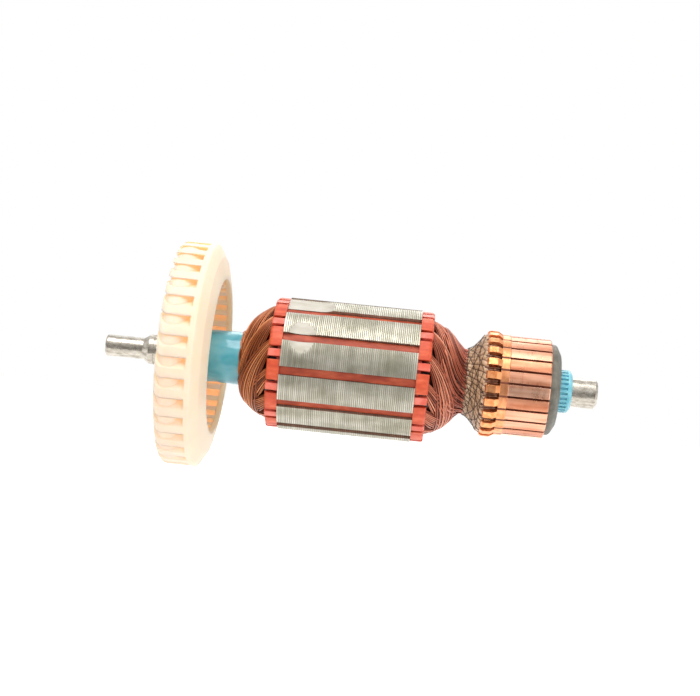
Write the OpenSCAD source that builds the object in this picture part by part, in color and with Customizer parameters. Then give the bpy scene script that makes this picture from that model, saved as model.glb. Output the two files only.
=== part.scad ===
// Armature of a small brushed motor, of the size used in a 125 mm angle grinder.
// The shaft lies along X, with the drive end at -X and the commutator end at +X.
// The origin is on the shaft's axis, halfway along the drive end bearing seat.
// Stations along the shaft are measured from its drive end tip, and angles about
// it from the -Y side, rising towards +Z.

/* [Shaft] */
// Diameter of the two bearing seats
bearing_d = 8; // [7:0.1:10]
// Length of the drive end bearing seat
bearing_seat_length = 7.2; // [6:0.1:9]
// Diameter of the pinion seat at the drive end
pinion_seat_d = 5.8; // [4.5:0.1:7]
// Length of the pinion seat
pinion_seat_length = 10.2; // [8:0.1:13]
// Diameter of the shaft between the bearing seats
shaft_d = 10; // [9:0.1:12]
// Length of the bearing seat behind the commutator
journal_length = 6.9; // [5.5:0.1:9]
// Outer diameter of the insulating sleeve on the shaft
sleeve_d = 14.5; // [13.5:0.1:16]

/* [Core] */
// Outer diameter of the lamination stack
core_d = 35.5; // [32:0.1:43]
// Length of the lamination stack
core_length = 35.5; // [28:0.1:45]
// Distance from the fan's face to the lamination stack
fan_to_core = 27.8; // [26:0.1:34]
// Width of a tooth between its slots
tooth_w = 3.6; // [3:0.1:4]
// Thickness of a tooth's tip at the mouth of a slot
tooth_tip = 1.15; // [0.9:0.05:1.4]
// Width of a slot's mouth
slot_mouth = 2.3; // [1.4:0.1:2.6]
// Angle of the first slot above the -Y side
slot_phase = -6.5; // [-15:0.5:15]

/* [Balance cuts] */
// Radius of the milling cutter
cutter_r = 11; // [9:0.5:14]
// Depth of the long cut at the end of the core
long_cut_depth = 0.85; // [0.5:0.05:1]
// Depth of the short cut
short_cut_depth = 0.66; // [0.4:0.05:0.9]

/* [Winding] */
// How far the winding stands out at the drive end
drive_head_length = 11.4; // [10.5:0.1:14]
// How far the winding stands out at the commutator end
commutator_head_length = 11.2; // [10.5:0.1:14]
// Thickness of a coil's bundle of turns outside the core
bundle_t = 1.34; // [1.2:0.02:1.42]
// Thickness of the slot liners
liner_t = 0.3; // [0.2:0.05:0.4]
// How far the insulators stand out of the core
insulator_length = 3.4; // [3:0.1:4]

/* [Commutator] */
// Diameter of the brush track
commutator_d = 26.7; // [24:0.1:32]
// Length from the hooks to the far end of the bars
commutator_length = 17; // [14:0.1:20]
// Distance from the lamination stack to the hooks
core_to_commutator = 18; // [17:0.1:22]
// Number of bars
bar_count = 24; // [12:12:24]
// Width of the sawn slots between bars
bar_gap = 0.6; // [0.4:0.05:0.8]
// Length of the hooks
hook_length = 3.8; // [3.4:0.1:4.6]
// Width of a hook
hook_w = 1.9; // [1.5:0.1:2.2]
// Height of the hooks over the brush track
hook_rise = 0.9; // [0.7:0.05:1.5]

/* [Fan] */
// Diameter of the fan
fan_d = 60.4; // [54:0.1:73]
// Diameter of the fan's inlet
fan_inlet_d = 42; // [38:0.1:46]
// Number of blades
blade_count = 35; // [26:1:38]
// Thickness of a blade at its root
blade_root_t = 1.6; // [1:0.1:2]
// Thickness of a blade at its tip
blade_tip_t = 2.7; // [1.4:0.1:3]
// Angle that a blade sweeps from its root to its tip
blade_sweep = 20; // [0:1:25]

/* [Ribbed ring] */
// Diameter over the ribs
ribbed_ring_d = 11.65; // [11:0.05:14]
// Number of ribs
rib_count = 27; // [18:1:30]

/* [Hidden] */
$fn = 96;
slot_count = 12;
slot_pitch = 360 / slot_count;
// Slots that a coil spans, and levels in which the coils' ends are stacked
coil_span = 5;
level_count = slot_count / 2;

// Stations along the shaft
seat_taper = 1.7;
seat_to_taper = 1.9;
ring_groove_w = 0.6;
ring_groove_depth = 0.25;
collar_length = 2.8;
ring_length = 3.7;
seat_start = pinion_seat_length + seat_taper + seat_to_taper;
seat_end = seat_start + bearing_seat_length;
origin_station = (seat_start + seat_end) / 2;
core_start = seat_end + fan_to_core;
core_end = core_start + core_length;
hook_start = core_end + core_to_commutator;
track_end = hook_start + commutator_length;
collar_end = track_end + collar_length;
ring_end = collar_end + ring_length;
shaft_end = ring_end + journal_length;

// Radii
core_r = core_d / 2;
shaft_r = shaft_d / 2;
sleeve_r = sleeve_d / 2;
bearing_r = bearing_d / 2;
// The ribbed ring is pressed on a step a little thicker than the bearing seat
ring_bore_r = bearing_r + 0.3;
track_r = commutator_d / 2;
hook_r = track_r + hook_rise;
fan_r = fan_d / 2;

// Places a child, drawn about Z, along the shaft with its X side towards -Y
module along(station) {
    translate([station - origin_station, 0, 0])
        rotate([0, 90, 0])
            rotate([0, 0, -90])
                children();
}

// Turns a child of along() up by an angle
module turned(angle) {
    rotate([0, 0, -angle]) children();
}

// A solid of revolution from an outline of [radius, station] points
module turned_solid(outline) {
    along(0) rotate_extrude() polygon(outline);
}

// Points of an arc in the [radius, station] plane, for rounding an outline
function arc_points(centre, r, from, to, steps = 4) = [
    for (i = [0 : steps])
        let (a = from + (to - from) * i / steps)
        centre + r * [cos(a), sin(a)]
];

// Position of a point from its station, radius and angle about the shaft
function at(station, r, angle) = [station - origin_station, -r * cos(angle), r * sin(angle)];
function outward(angle) = [0, -cos(angle), sin(angle)];
function unit(v) = v / norm(v);

// ---- Shaft and its sleeve ----

module shaft() {
    round_r = 0.5;
    pinion_r = pinion_seat_d / 2;
    taper_end = pinion_seat_length + seat_taper;
    groove = seat_start - ring_groove_w;
    end_chamfer = 0.7;
    color([0.72, 0.70, 0.66])
        turned_solid(concat(
            [[0, 0]],
            arc_points([pinion_r - round_r, round_r], round_r, -90, 0),
            [
                [pinion_r, pinion_seat_length],
                [bearing_r, taper_end],
                [bearing_r, groove],
                [bearing_r - ring_groove_depth, groove],
                [bearing_r - ring_groove_depth, seat_start],
                [bearing_r, seat_start],
                [bearing_r, seat_end],
                [shaft_r, seat_end],
                [shaft_r, ring_seat_start],
                [ring_bore_r, ring_seat_start],
                [ring_bore_r, ring_end],
                [bearing_r, ring_end],
                [bearing_r, shaft_end - end_chamfer],
                [bearing_r - end_chamfer, shaft_end],
                [0, shaft_end],
            ]
        ));
}

sleeve_start = seat_end + 5;
neck_station = core_end + commutator_head_length + 1.1;

module shaft_sleeve() {
    color([0.42, 0.72, 0.76])
        turned_solid([
            [shaft_r, sleeve_start],
            [sleeve_r, sleeve_start],
            [sleeve_r, neck_station + 2],
            [shaft_r, neck_station + 2],
        ]);
}

// ---- Fan ----

fan_hub_r = shaft_r + 3;
fan_wall = 1.5;
plate_face = seat_end - 1;
plate_r = fan_r - 1.8;
dish_r = fan_r - 4;
blade_start = seat_end - 2.6;
blade_root_r = fan_inlet_d / 2 - 0.5;
blade_end_round = 1.9;
rim_start = seat_end + 5.4;
rim_w = 1.6;
lip_end = seat_end + 9.9;
// The shroud is bent between its cone at the rim and its flatter face at the inlet
bend_r = fan_r - 3.4;
bend_station = lip_end - 1.1;

function blade_share(r) = max(0, r - blade_root_r) / (fan_r - blade_root_r);
function blade_turn(r) = blade_sweep * pow(blade_share(r), 1.5);
function blade_half_t(r) = (blade_root_t + (blade_tip_t - blade_root_t) * blade_share(r)) / 2;

// One blade as it looks along the shaft, curved back and thicker towards its tip
module blade_outline() {
    steps = 4;
    root = blade_root_r - 0.2;
    past_tip = fan_r + 0.4;
    radii = [for (i = [0 : steps]) root + (past_tip - root) * i / steps];
    function side(r, way) =
        let (a = blade_turn(r) + way * asin(blade_half_t(r) / r))
        r * [cos(a), sin(a)];
    polygon(concat(
        [for (r = radii) side(r, -1)],
        [for (i = [steps : -1 : 0]) side(radii[i], 1)]
    ));
}

// Space that the blades fill: they stand proud of the back plate at the drive side,
// and reach halfway into the shroud
module blade_space() {
    into_shroud = 0.4;
    turned_solid(concat(
        [
            [blade_root_r, seat_end - 0.2],
            [blade_root_r, lip_end - fan_wall],
            [fan_inlet_d / 2 + 1, lip_end - fan_wall],
            [bend_r - 0.3, bend_station - fan_wall + into_shroud * 2],
            [fan_r - 0.6, rim_start + into_shroud],
            [fan_r, rim_start + into_shroud],
        ],
        arc_points([fan_r - blade_end_round, blade_start + blade_end_round], blade_end_round, 0, -90, 3),
        [[dish_r - 1.5, blade_start]]
    ));
}

module fan() {
    color([0.97, 0.90, 0.76]) {
        // Hub and dished back plate
        turned_solid([
            [shaft_r, seat_end],
            [dish_r, plate_face],
            [plate_r, plate_face],
            [plate_r, plate_face + fan_wall],
            [dish_r, plate_face + fan_wall],
            [fan_hub_r + 1, seat_end + fan_wall],
            [fan_hub_r, seat_end + fan_wall + 1],
            [fan_hub_r, sleeve_start - 0.2],
            [shaft_r, sleeve_start - 0.2],
        ]);
        // Shroud with its inlet lip
        turned_solid([
            [fan_r, rim_start],
            [fan_r, rim_start + rim_w - 0.3],
            [fan_r - 0.3, rim_start + rim_w],
            [bend_r, bend_station],
            [fan_inlet_d / 2 + 1.2, lip_end],
            [fan_inlet_d / 2, lip_end],
            [fan_inlet_d / 2, lip_end - fan_wall],
            [bend_r - 0.6, bend_station - fan_wall],
            [fan_r - 2.2, rim_start],
        ]);
        // A blade's tip is centred on the -Y side
        intersection() {
            blade_space();
            along(blade_start - 1)
                linear_extrude(height = lip_end - blade_start + 2)
                    for (i = [0 : blade_count - 1])
                        rotate([0, 0, 360 * i / blade_count - blade_sweep])
                            blade_outline();
        }
    }
}

// ---- Core, with its slots and balance cuts ----

half_pitch = slot_pitch / 2;
slot_top_r = core_r - tooth_tip;
shoulder_r = slot_top_r - 0.7;
slot_floor_r = sleeve_r + (shoulder_r - sleeve_r) * 0.51;

function slot_angle(i) = slot_phase + i * slot_pitch;
// Half width of a slot at a radius, between parallel sided teeth
function slot_half(r, inset = 0) = r * tan(half_pitch) - (tooth_w / 2 + inset) / cos(half_pitch);

// The winding space of a slot, up to a given radius
module slot_chamber(top, inset = 0) {
    translate([slot_floor_r, 0])
        circle(r = slot_floor_r * sin(half_pitch) - tooth_w / 2 - inset, $fn = 48);
    polygon([
        [slot_floor_r, -slot_half(slot_floor_r, inset)],
        [top, -slot_half(top, inset)],
        [top, slot_half(top, inset)],
        [slot_floor_r, slot_half(slot_floor_r, inset)],
    ]);
}

module slot_opening() {
    slot_chamber(shoulder_r);
    polygon([
        [shoulder_r - 0.01, -slot_half(shoulder_r)],
        [slot_top_r, -slot_mouth / 2],
        [core_r + 1, -slot_mouth / 2],
        [core_r + 1, slot_mouth / 2],
        [slot_top_r, slot_mouth / 2],
        [shoulder_r - 0.01, slot_half(shoulder_r)],
    ]);
}

module at_each_slot() {
    for (i = [0 : slot_count - 1])
        turned(slot_angle(i)) children();
}

// A milled flat: the cutter travels along the core and runs out round at its ends
module balance_cut(angle, from, to, depth) {
    width = core_d;
    axis_r = core_r - depth + cutter_r;
    along(0)
        turned(angle) {
            for (station = [from, to])
                translate([axis_r, 0, station])
                    rotate([90, 0, 0])
                        cylinder(r = cutter_r, h = width, center = true);
            if (to > from)
                translate([core_r - depth, -width / 2, from])
                    cube([cutter_r, width, to - from]);
        }
}

module core() {
    long_cut_angle = 65;
    long_cut_end = core_start + core_length * 0.235;
    short_cut_angle = 25;
    short_cut_station = core_start + core_length * 0.14;
    color([0.72, 0.71, 0.66])
        difference() {
            along(core_start)
                linear_extrude(height = core_length)
                    difference() {
                        circle(r = core_r);
                        circle(r = sleeve_r);
                        at_each_slot() slot_opening();
                    }
            balance_cut(long_cut_angle, core_start - cutter_r, long_cut_end, long_cut_depth);
            balance_cut(short_cut_angle, short_cut_station, short_cut_station, short_cut_depth);
        }
}

// ---- Insulation of the core ----

wedge_r = shoulder_r - 0.3;
tongue_r = core_r - 0.3;
tongue_t = 1;
tongue_w = 5.4;
finger_w = 1.9;
end_plate_t = 1;
fit_gap = 0.1;

module slot_liners() {
    color([0.85, 0.36, 0.26])
        along(core_start - end_plate_t)
            linear_extrude(height = core_length + 2 * end_plate_t)
                at_each_slot()
                    difference() {
                        slot_chamber(wedge_r);
                        slot_chamber(wedge_r + 1, liner_t);
                    }
}

// A wedge closes the slot's mouth, and its cuffed ends lie over the coils
module slot_wedges() {
    half = slot_half(wedge_r) - fit_gap;
    mouth_half = slot_mouth / 2 - fit_gap;
    strip_r = slot_top_r + 0.25;
    tongue_angle = 2 * asin(tongue_w / 2 / tongue_r);
    tongue_in_r = tongue_r - tongue_t;
    corner = tongue_t * 0.9;
    wedge_end = insulator_length - 0.8;
    color([0.88, 0.42, 0.26])
        for (i = [0 : slot_count - 1]) {
            along(core_start - wedge_end)
                turned(slot_angle(i))
                    linear_extrude(height = core_length + 2 * wedge_end)
                        polygon([
                            [wedge_r, -half],
                            [shoulder_r - fit_gap, -half],
                            [slot_top_r - fit_gap, -mouth_half],
                            [strip_r, -mouth_half],
                            [strip_r, mouth_half],
                            [slot_top_r - fit_gap, mouth_half],
                            [shoulder_r - fit_gap, half],
                            [wedge_r, half],
                        ]);
            for (end = [-1, 1])
                along(end < 0 ? core_start : core_end)
                    turned(slot_angle(i) + tongue_angle / 2)
                        facing(end)
                            rotate_extrude(angle = tongue_angle)
                                polygon(concat(
                                    [[tongue_in_r, 0], [tongue_r, 0]],
                                    arc_points(
                                        [tongue_r - corner, insulator_length - corner],
                                        corner, 0, 90
                                    ),
                                    [[tongue_in_r, insulator_length]]
                                ));
        }
}

// Points a child, drawn towards the commutator, to either end
module facing(end) {
    if (end < 0) mirror([0, 0, 1]) children();
    else children();
}

// End plate with the core's own teeth, and a finger on each tooth to hold the coils
module end_insulator(end) {
    finger_in_r = tongue_r - 1.6;
    plate_r = tongue_r - tongue_t - 0.05;
    corner = 0.5;
    color([0.96, 0.45, 0.36])
        along(end < 0 ? core_start : core_end)
            facing(end) {
                linear_extrude(height = end_plate_t)
                    difference() {
                        circle(r = plate_r);
                        circle(r = sleeve_r);
                        at_each_slot() slot_opening();
                    }
                for (i = [0 : slot_count - 1])
                    turned(slot_angle(i) + half_pitch)
                        rotate([90, 0, 0])
                            translate([0, 0, -finger_w / 2])
                                linear_extrude(height = finger_w)
                                    polygon(concat(
                                        [[finger_in_r, 0], [tongue_r, 0]],
                                        arc_points(
                                            [tongue_r - corner, insulator_length - corner],
                                            corner, 0, 90
                                        ),
                                        [[finger_in_r, insulator_length]]
                                    ));
            }
}

module drive_end_insulator() {
    end_insulator(-1);
}

module commutator_end_insulator() {
    end_insulator(1);
}

// ---- Coils ----

// The coils are stacked in pairs. Each pair passes the shaft on opposite sides, one
// level further from the core than the pair before, so that no two coils cross.
leg_w = 3.2;
first_level = 2.3;

function head_length(end) = end < 0 ? drive_head_length : commutator_head_length;
function level_distance(end, level) =
    first_level + (head_length(end) - bundle_t / 2 - first_level) * level / (level_count - 1);

// Radius of the winding head at a distance from the core
head_drop = 2.25;
function head_radius(end, distance) =
    sleeve_r + (core_r - head_drop - sleeve_r) * lookup(distance / head_length(end), [
        [0.26, 1],
        [0.66, 0.784],
        [0.87, 0.558],
        [1, 0.361],
    ]);

// Centre and half sizes of a coil's side in its slot, where two coils share the depth
side_gap = 0.15;
leg_clearance = 0.1;
slot_bottom_r = slot_floor_r - (slot_floor_r * sin(half_pitch) - tooth_w / 2) + liner_t;
side_room = wedge_r - slot_bottom_r - 3 * side_gap;
lower_half_depth = side_room * 0.285;
upper_half_depth = side_room * 0.215;
function side_half_depth(lower) = lower ? lower_half_depth : upper_half_depth;
function side_radius(lower) =
    lower
        ? slot_bottom_r + side_gap + lower_half_depth
        : wedge_r - side_gap - upper_half_depth;
function side_half_width(lower) =
    slot_half(side_radius(lower) - side_half_depth(lower) * 0.45, liner_t) - 0.1;

// Radius of a coil's leg there: the first coil in a slot lies under the second
leg_gap = (core_r - head_drop - sleeve_r) * 0.065;
under_upper_r = side_radius(false) - upper_half_depth - bundle_t / 2 - leg_clearance;
function leg_radius(end, distance, lower) =
    lower
        ? min(head_radius(end, distance) - bundle_t * 1.5 - leg_gap, under_upper_r)
        : head_radius(end, distance) - bundle_t / 2;

// Round the shaft the bundles stay inside the legs of the coils stacked after them
ring_in_r = sleeve_r + 0.2;
ring_room = min([
    for (end = [-1, 1])
        leg_radius(end, level_distance(end, level_count - 2) - 0.8, true)
]) - bundle_t / 2 - ring_in_r;
ring_w = min(leg_w * 0.78, ring_room);
ring_mid_r = ring_in_r + ring_w / 2;

// Stations of half an end turn, from inside the slot to the middle of its crossing.
// Each is [position, direction of the outer face, half thickness, half width].
function half_turn(end, level, lower, angle, dir) =
    let (
        face = end < 0 ? core_start : core_end,
        last = level_distance(end, level),
        side_r = side_radius(lower),
        leg_r = level == 0 ? side_r : leg_radius(end, last - 0.8, lower),
        lift = (last + 0.2) / 2,
        lift_r = level == 0 ? side_r : leg_radius(end, lift, lower),
        drop = leg_r - ring_mid_r,
        half_t = bundle_t / 2,
        crossing = coil_span * slot_pitch / 2,
        step = function (distance, r, turn, tilt, half_n, half_b)
            [
                at(face + end * distance, r, angle + dir * turn),
                outward(angle + dir * turn) * cos(tilt) + [end, 0, 0] * sin(tilt),
                half_n,
                half_b
            ]
    )
    concat(
        [
            step(-1, side_r, 0, 0, side_half_depth(lower), side_half_width(lower)),
            step(end_plate_t + 0.15, side_r, 0, 0, side_half_depth(lower) * 0.9, side_half_width(lower) * 0.9),
        ],
        level == 0 ? [] : [step(lift, lift_r, 0, 0, half_t, leg_w / 2)],
        [
            step(last - 0.8, leg_r, 0.5, 20, half_t, leg_w / 2),
            step(last - 0.12, leg_r - drop * 0.26, 2.5, 60, half_t, leg_w / 2),
            step(last, leg_r - drop * 0.6, 7, 90, half_t, ring_w * 0.42),
            step(last, ring_mid_r + drop * 0.15, 15, 90, half_t, ring_w / 2),
            step(last, ring_mid_r, 25, 90, half_t, ring_w / 2),
            step(last, ring_mid_r, 42, 90, half_t, ring_w / 2),
            step(last, ring_mid_r, 59, 90, half_t, ring_w / 2),
        ],
        dir < 0 ? [] : [step(last, ring_mid_r, crossing, 90, half_t, ring_w / 2)]
    );

function reversed(list) = [for (i = [len(list) - 1 : -1 : 0]) list[i]];

// A closed loop of rounded rectangles, skinned with triangles
module closed_sweep(stations) {
    cut = 0.45;
    corners = [
        [1, cut], [cut, 1], [-cut, 1], [-1, cut],
        [-1, -cut], [-cut, -1], [cut, -1], [1, -cut],
    ];
    count = len(stations);
    sides = len(corners);
    points = [
        for (i = [0 : count - 1])
            let (
                here = stations[i],
                before = stations[(i + count - 1) % count][0],
                after = stations[(i + 1) % count][0],
                along_path = unit(unit(after - here[0]) + unit(here[0] - before)),
                face = unit(here[1] - (here[1] * along_path) * along_path),
                across = cross(along_path, face)
            )
            for (c = corners)
                here[0] + face * (here[2] * c[0]) + across * (here[3] * c[1])
    ];
    faces = [
        for (i = [0 : count - 1], k = [0 : sides - 1])
            let (
                a = i * sides + k,
                b = i * sides + (k + 1) % sides,
                c = ((i + 1) % count) * sides + (k + 1) % sides,
                d = ((i + 1) % count) * sides + k
            )
            each [[a, c, b], [a, d, c]]
    ];
    polyhedron(points, faces);
}

module coil(index) {
    level = (index + 2) % level_count;
    first = slot_angle(index - 1);
    second = first + coil_span * slot_pitch;
    first_lower = level < level_count - 1;
    second_lower = level == 0;
    color([0.68, 0.38, 0.24])
        closed_sweep(concat(
            half_turn(-1, level, first_lower, first, 1),
            reversed(half_turn(-1, level, second_lower, second, -1)),
            half_turn(1, level, second_lower, second, -1),
            reversed(half_turn(1, level, first_lower, first, 1))
        ));
}

// ---- Leads from the coils to the hooks, and the cord that laces them down ----

lead_d = 1;
cord_d = 0.35;
bar_pitch = 360 / bar_count;
bar_phase = 2.5;
eye_station = hook_start + 1.9;
eye_r = track_r - 0.25;

function gap_angle(i) = bar_phase + i * bar_pitch;

// Flare of the leads from the neck up to the hooks, as a radius at a share of the way
function flare_radius(share) =
    let (neck = sleeve_r + lead_d / 2 + 0.1)
    neck + (eye_r - neck) * pow(share, 1.6);
function flare_station(share) = neck_station + (hook_start - 0.5 - neck_station) * share;

// An open sweep of a round section along points, closed at both ends
module open_sweep(path, r, sides) {
    count = len(path);
    points = [
        for (i = [0 : count - 1])
            let (
                before = path[max(i - 1, 0)],
                after = path[min(i + 1, count - 1)],
                along_path = unit(after - before),
                from_axis = [0, path[i][1], path[i][2]],
                face = unit(from_axis - (from_axis * along_path) * along_path),
                across = cross(along_path, face)
            )
            for (k = [0 : sides - 1])
                path[i] + r * (face * cos(360 * k / sides) + across * sin(360 * k / sides))
    ];
    skin = [
        for (i = [0 : count - 2], k = [0 : sides - 1])
            let (
                a = i * sides + k,
                b = i * sides + (k + 1) % sides
            )
            each [[a, b + sides, b], [a, a + sides, b + sides]]
    ];
    caps = [
        [for (k = [0 : sides - 1]) k],
        [for (k = [sides - 1 : -1 : 0]) (count - 1) * sides + k],
    ];
    polyhedron(points, concat(skin, caps));
}

module lead_wires() {
    color([0.62, 0.47, 0.38])
        for (i = [0 : bar_count - 1])
            open_sweep(
                concat(
                    [at(neck_station - 0.8, flare_radius(0), gap_angle(i))],
                    [for (k = [0 : 3]) at(flare_station(k / 3), flare_radius(k / 3), gap_angle(i))],
                    [
                        at(eye_station - 0.3, eye_r, gap_angle(i) + 0.8),
                        at(eye_station, eye_r, gap_angle(i) + bar_pitch * 0.3),
                        at(eye_station, eye_r, gap_angle(i) + bar_pitch * 0.68),
                    ]
                ),
                lead_d / 2,
                6
            );
}

// The cord runs up and down the flare. Its strokes towards the neck pass over those
// towards the hooks, which gives a net of crossings.
module lacing_cord() {
    strokes = 46;
    steps = 3;
    stroke_turn = 360 * 7 / strokes;
    reach = [0.08, 0.86];
    color([0.35, 0.26, 0.20])
        open_sweep(
            [
                for (i = [0 : strokes - 1], k = [0 : steps - 1])
                    let (
                        up = i % 2 == 0,
                        along_stroke = k / steps,
                        share = up
                            ? reach[0] + (reach[1] - reach[0]) * along_stroke
                            : reach[1] - (reach[1] - reach[0]) * along_stroke,
                        over = up ? 0 : cord_d * 1.1
                    )
                    at(
                        flare_station(share),
                        flare_radius(share) + lead_d * (0.65 + 0.45 * share) + cord_d / 2 + over,
                        stroke_turn * (i + along_stroke)
                    )
            ],
            cord_d / 2,
            4
        );
}

// ---- Commutator ----

bar_in_r = track_r - 3;
foot_depth = 1;
hook_t = 0.8;
body_start = hook_start + 0.4;
riser_start = hook_start + hook_length;
riser_end = riser_start + 2.2;
riser_r = track_r + 0.15;
under_hook_r = track_r - 0.85;
foot_start = riser_start;
foot_end = track_end - 2;

// Outline of the dovetail foot that anchors the bars in the moulding
foot_outline = [
    [bar_in_r, foot_start + 1],
    [bar_in_r - foot_depth, foot_start],
    [bar_in_r - foot_depth, foot_end],
    [bar_in_r, foot_end - 1],
];

// A hook is bent back over its wire and pressed down on the bar
module hook() {
    turn_r = hook_t;
    over_end = riser_start - 1.1;
    rotate([90, 0, 0])
        translate([0, 0, -hook_w / 2])
            linear_extrude(height = hook_w)
                polygon(concat(
                    [[under_hook_r - 0.5, body_start + hook_t], [under_hook_r - 0.5, hook_start]],
                    arc_points([hook_r - turn_r, hook_start + turn_r], turn_r, -90, 0),
                    [
                        [hook_r, over_end],
                        [riser_r, riser_start + 0.2],
                        [under_hook_r - 0.5, riser_start + 0.2],
                        [under_hook_r - 0.5, over_end],
                        [hook_r - hook_t, over_end - 0.4],
                        [hook_r - hook_t, hook_start + hook_t],
                        [under_hook_r - 0.5, hook_start + hook_t + 0.01],
                    ]
                ));
}

module commutator_bar(index) {
    angle = gap_angle(index);
    color([0.86, 0.56, 0.40]) {
        difference() {
            along(0)
                turned(angle)
                    rotate_extrude(angle = bar_pitch)
                        polygon(concat(
                            [
                                [bar_in_r, body_start],
                                [under_hook_r, body_start],
                                [under_hook_r, riser_start],
                                [riser_r, riser_start],
                                [riser_r, riser_end],
                                [track_r, riser_end + 0.15],
                                [track_r, track_end - 0.3],
                                [track_r - 0.3, track_end],
                                [bar_in_r, track_end],
                            ],
                            reversed(foot_outline)
                        ));
            for (side = [angle, angle - bar_pitch])
                along(hook_start)
                    turned(side)
                        translate([0, -bar_gap / 2, -1])
                            cube([hook_r + 1, bar_gap, commutator_length + 2]);
        }
        along(0) turned(angle - bar_pitch / 2) hook();
    }
}

ring_seat_start = track_end + 0.6;

// Moulded body that carries the bars, with a web at the bottom of each sawn slot. At the
// riser band the saw stops short, and the web fills the gap between the bars.
module commutator_moulding() {
    start = hook_start - 0.7;
    collar_r = track_r - 1.2;
    collar_face_r = track_r - 3.6;
    bore_r = ribbed_ring_d / 2 + fit_gap;
    web_in_r = bar_in_r - foot_depth - 0.4;
    web_r = collar_r - 0.1;
    riser_web_r = riser_r - 0.02;
    color([0.48, 0.47, 0.43]) {
        turned_solid(concat(
            [
                [shaft_r, start],
                [bar_in_r - 0.6, start],
                [bar_in_r, start + 0.6],
            ],
            foot_outline,
            [
                [bar_in_r, track_end],
                [collar_r, track_end],
            ],
            arc_points([collar_r - 1, track_end + 0.9], 1, 0, 60),
            [
                [collar_face_r, collar_end],
                [bore_r, collar_end],
                [bore_r, ring_seat_start],
                [shaft_r, ring_seat_start],
            ]
        ));
        for (i = [0 : bar_count - 1])
            along(0)
                turned(gap_angle(i))
                    rotate([90, 0, 0])
                        translate([0, 0, -bar_gap / 2])
                            linear_extrude(height = bar_gap)
                                polygon([
                                    [web_in_r, body_start],
                                    [web_r, body_start],
                                    [web_r, riser_start],
                                    [riser_web_r, riser_start],
                                    [riser_web_r, riser_end],
                                    [web_r, riser_end],
                                    [web_r, track_end + 0.3],
                                    [web_in_r, track_end + 0.3],
                                ]);
    }
}

// Ribbed insulating ring between the commutator and its bearing
module ribbed_ring() {
    ring_r = ribbed_ring_d / 2;
    rib_h = 0.6;
    rib_w = 0.7;
    flange_w = 1.3;
    flange_start = ring_end - flange_w;
    color([0.50, 0.76, 0.84]) {
        along(ring_seat_start)
            linear_extrude(height = flange_start - ring_seat_start)
                difference() {
                    union() {
                        circle(r = ring_r - rib_h);
                        for (i = [0 : rib_count - 1])
                            rotate([0, 0, 360 * i / rib_count])
                                translate([ring_r - rib_h - 0.2, -rib_w / 2])
                                    square([rib_h + 0.1, rib_w]);
                    }
                    circle(r = ring_bore_r);
                }
        turned_solid([
            [ring_bore_r, flange_start],
            [ring_r - 0.15, flange_start],
            [ring_r - 0.15, ring_end - 0.7],
            [bearing_r + 0.6, ring_end],
            [ring_bore_r, ring_end],
        ]);
    }
}

// ---- Assembly ----

shaft();
shaft_sleeve();
fan();
core();
slot_liners();
slot_wedges();
drive_end_insulator();
commutator_end_insulator();
for (i = [1 : slot_count])
    coil(i);
lead_wires();
lacing_cord();
commutator_moulding();
ribbed_ring();
for (i = [1 : bar_count])
    commutator_bar(i);
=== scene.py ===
"""Looks of a small motor armature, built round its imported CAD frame.

Lengths are in millimetres until a mesh is made. A place is given by its distance x along
the shaft, its radius, and its angle about the shaft, from the -Y side rising towards +Z.
"""

import math
import random

import bpy
import numpy as np
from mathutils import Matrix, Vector


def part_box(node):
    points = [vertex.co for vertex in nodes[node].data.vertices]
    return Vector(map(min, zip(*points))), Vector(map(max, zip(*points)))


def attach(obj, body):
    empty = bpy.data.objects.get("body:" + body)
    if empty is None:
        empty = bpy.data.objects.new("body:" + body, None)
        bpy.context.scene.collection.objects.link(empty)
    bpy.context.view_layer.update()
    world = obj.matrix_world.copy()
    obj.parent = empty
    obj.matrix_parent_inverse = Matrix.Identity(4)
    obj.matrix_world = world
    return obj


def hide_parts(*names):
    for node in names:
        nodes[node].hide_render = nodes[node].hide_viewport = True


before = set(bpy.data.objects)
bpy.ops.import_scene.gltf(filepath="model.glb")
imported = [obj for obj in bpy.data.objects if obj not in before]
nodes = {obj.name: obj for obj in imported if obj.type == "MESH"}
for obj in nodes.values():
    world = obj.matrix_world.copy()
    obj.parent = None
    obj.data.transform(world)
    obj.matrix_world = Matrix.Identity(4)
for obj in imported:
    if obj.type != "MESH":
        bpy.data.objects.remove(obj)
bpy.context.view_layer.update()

MM = 0.001


def span(node):
    """Lowest and highest corner of a CAD node, in millimetres."""
    low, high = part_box(node)
    return low / MM, high / MM


# ---- Sizes taken from the frame ----

CORE_START, CORE_END = (corner.x for corner in span("core"))
CORE_R = span("core")[1].z
SLEEVE_START, SLEEVE_END = (corner.x for corner in span("shaft_sleeve"))
SLEEVE_R = span("shaft_sleeve")[1].z
BAR_START, BAR_END = (corner.x for corner in span("commutator_bar_1"))

# The CAD's own values that no box gives
SLOT_COUNT = 12
SLOT_PITCH = 360 / SLOT_COUNT
SLOT_PHASE = -6.5
BAR_COUNT = 24
BAR_PITCH = 360 / BAR_COUNT
GAP_PHASE = 2.5
TRACK_R = 13.35


def slot_angle(index):
    """Angle of a slot's middle."""
    return SLOT_PHASE + index * SLOT_PITCH


# ---- Mesh helpers ----


def polar(x, radius, angle):
    """Points at distances x along the shaft, from radii and angles in degrees."""
    x, radius, turn = np.broadcast_arrays(x, radius, np.radians(angle))
    return np.stack([x, -radius * np.cos(turn), radius * np.sin(turn)], -1)


def smoothed(values, width):
    """A running mean that keeps the length of the list."""
    kernel = np.ones(width) / width
    padded = np.pad(values, width // 2, mode="edge")
    return np.convolve(padded, kernel, "valid")[: len(values)]


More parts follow.
